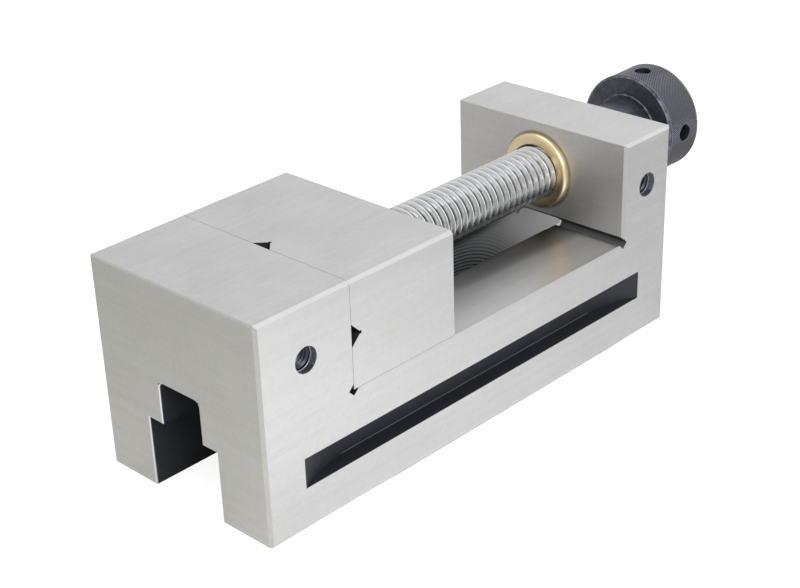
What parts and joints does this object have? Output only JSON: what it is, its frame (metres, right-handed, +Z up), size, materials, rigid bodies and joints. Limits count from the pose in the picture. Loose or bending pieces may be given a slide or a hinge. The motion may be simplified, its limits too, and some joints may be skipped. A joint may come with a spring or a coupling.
{
  "type": "toolmakers vise",
  "caption": "Ground steel toolmakers vise: a one-piece body with a fixed jaw, a sliding jaw with crossed V grooves, and a captive screw turned by a knurled knob.",
  "frame": {"origin": "under the middle of the whole vise, on the plane of its ground base, with the jaws closed", "axes": "+X from the fixed jaw to the knob, +Z up from the base, -Y is the left side"},
  "size_m": [0.2318, 0.073, 0.0743],
  "materials": {
    "ground_steel": "fine ground",
    "screw_steel": "bright turned",
    "pin_steel": "hardened and polished",
    "brass": "turned",
    "black_oxide": "black oxide, oiled"
  },
  "bodies": {
    "base": {"vise_body": "ground_steel", "spindle_nut": "brass", "nut_lock_screw": "black_oxide"},
    "jaw": {"movable_jaw": "ground_steel", "keeper_plate": "ground_steel", "keeper_screw_front": "black_oxide", "keeper_screw_rear": "black_oxide", "retaining_pin_left": "pin_steel", "retaining_pin_right": "pin_steel"},
    "spindle": {"lead_screw": "screw_steel", "thrust_ball": "pin_steel", "knob": "black_oxide", "knob_pin": "pin_steel"}
  },
  "joints": [
    {"name": "jaw_slide", "type": "slide", "parent": "base", "child": "jaw", "axis": [1, 0, 0], "range_m": [0, 0.08]},
    {"name": "spindle_turn", "type": "hinge", "parent": "jaw", "child": "spindle", "pos_m": [0, 0, 0.0549], "axis": [1, 0, 0], "range_deg": [0, 9600]}
  ],
  "couplings": [
    {"joint": "spindle_turn", "follows": "jaw_slide", "rad_per_m": 2094.4}
  ]
}
